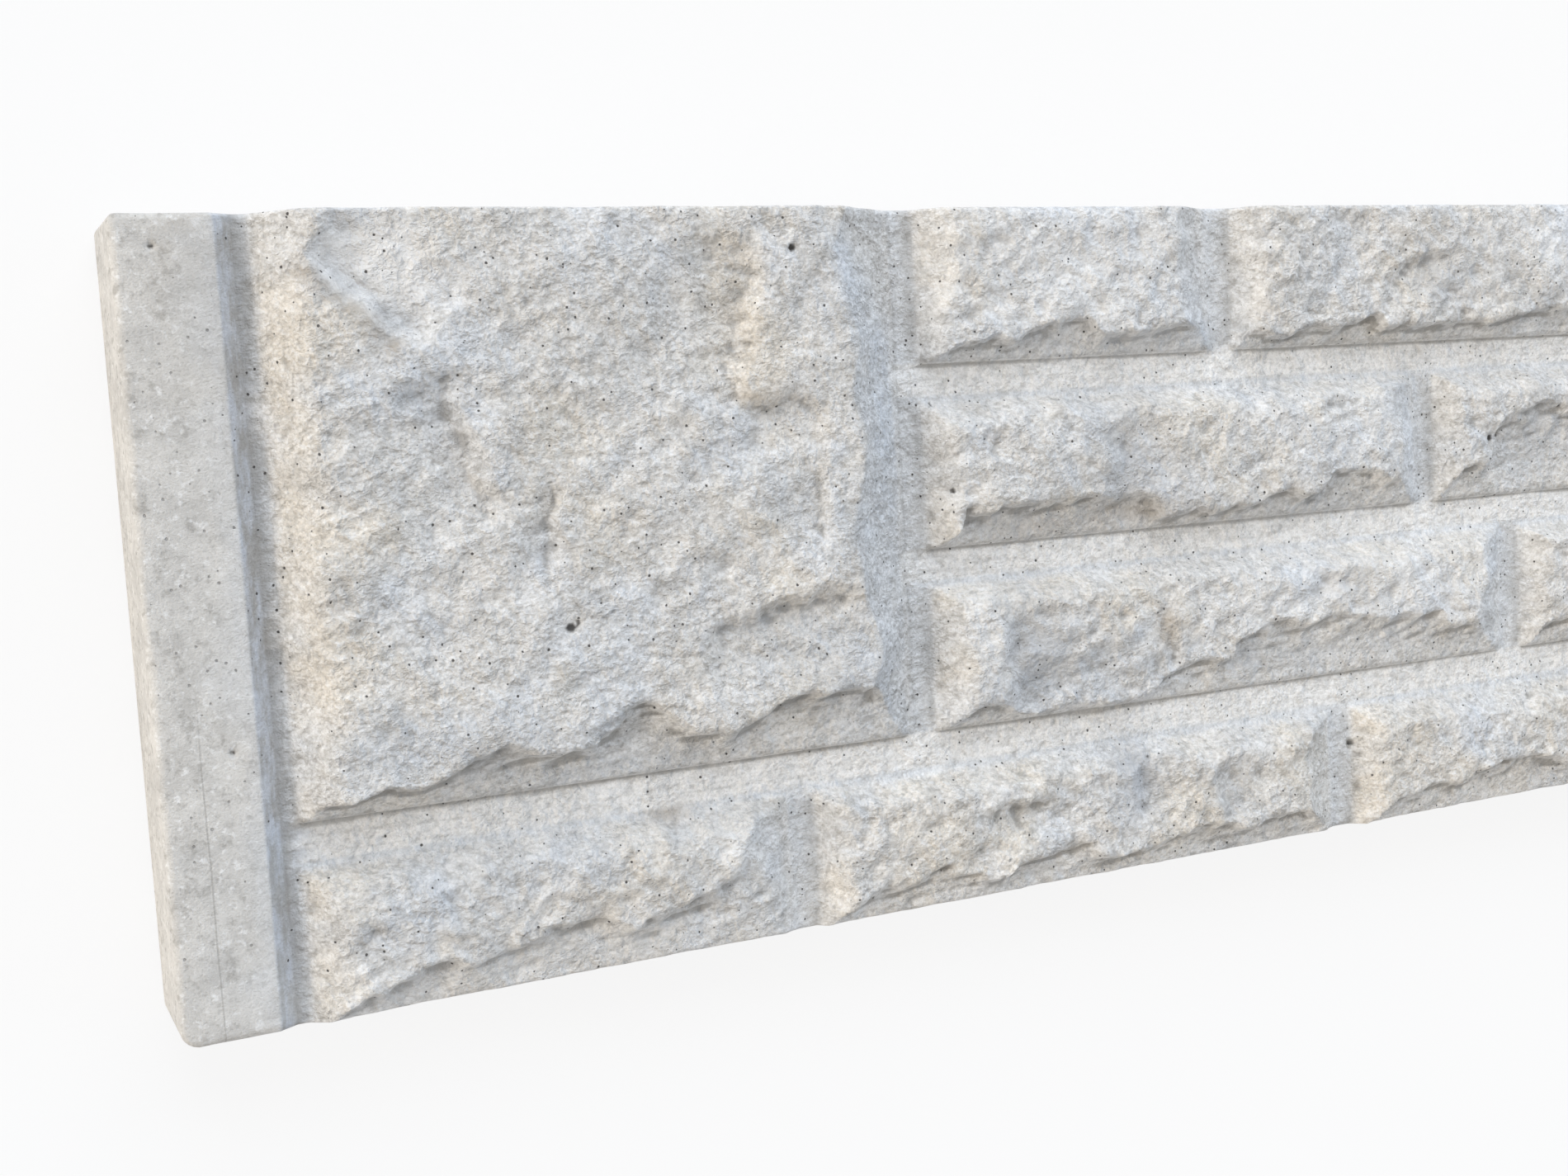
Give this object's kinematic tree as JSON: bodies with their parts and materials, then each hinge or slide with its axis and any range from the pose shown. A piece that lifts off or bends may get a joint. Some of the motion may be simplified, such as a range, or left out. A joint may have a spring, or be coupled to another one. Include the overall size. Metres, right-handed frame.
{
  "type": "concrete gravel board",
  "caption": "Precast concrete gravel board with coursed rock-face stones on one side, a flat back and plain end tongues that slide into slotted fence posts.",
  "frame": {"origin": "middle of the flat back, half way along the board's length and half way up its height", "axes": "+X along the board's length, +Y towards its top edge as it stands in a fence, +Z out of the rock face, which is up because the board is stored lying on its back"},
  "size_m": [1.83, 0.305, 0.064],
  "materials": {
    "concrete": "matt cast concrete, sandy grain with small blowholes"
  },
  "bodies": {
    "root": {"gravel_board": "concrete"}
  },
  "joints": []
}
